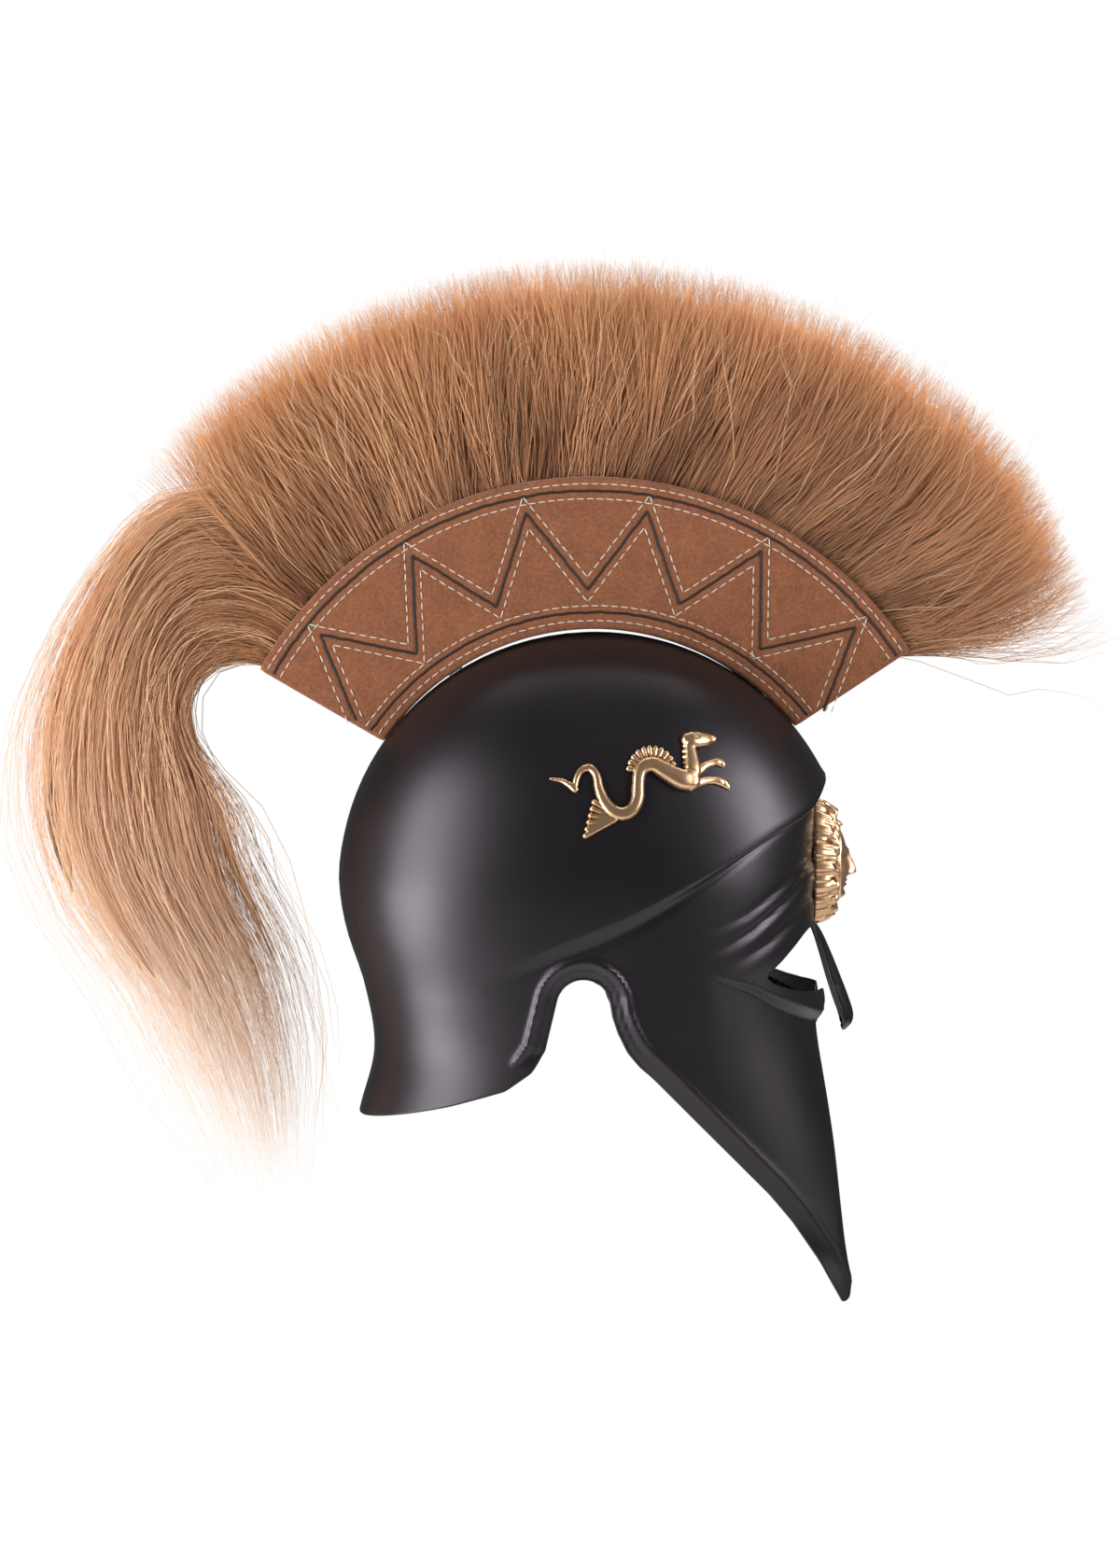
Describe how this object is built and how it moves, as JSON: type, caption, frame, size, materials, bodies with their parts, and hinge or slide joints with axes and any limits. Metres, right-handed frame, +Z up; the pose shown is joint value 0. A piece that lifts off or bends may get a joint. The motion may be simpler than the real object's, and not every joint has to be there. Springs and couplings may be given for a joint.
{
  "type": "corinthian helmet with hair crest",
  "caption": "Satin black steel Corinthian helmet with ear notches, brass brow mask and sea-dragons, and an arched suede and hair crest with a tail.",
  "frame": {"origin": "inside of the crown, where the helmet sits on a head", "axes": "+X to the front of the helmet, +Y to the wearer's left, +Z up"},
  "size_m": [0.5421, 0.1882, 0.5246],
  "materials": {
    "steel": "satin black paint on sheet steel",
    "brass": "cast, polished on the high places and darker in the recesses",
    "suede": "tan suede, stitched in white and dark brown thread",
    "hair": "combed tan hair, paler at the tips",
    "pin": "dark plain steel"
  },
  "bodies": {
    "root": {"helmet_shell": "steel", "brow_mask": "brass", "sea_dragon_right": "brass", "sea_dragon_left": "brass", "crest_panel_right": "suede", "crest_panel_left": "suede", "crest_hair": "hair", "crest_tail": "hair", "crest_post_front": "pin", "crest_post_rear": "pin"}
  },
  "joints": []
}
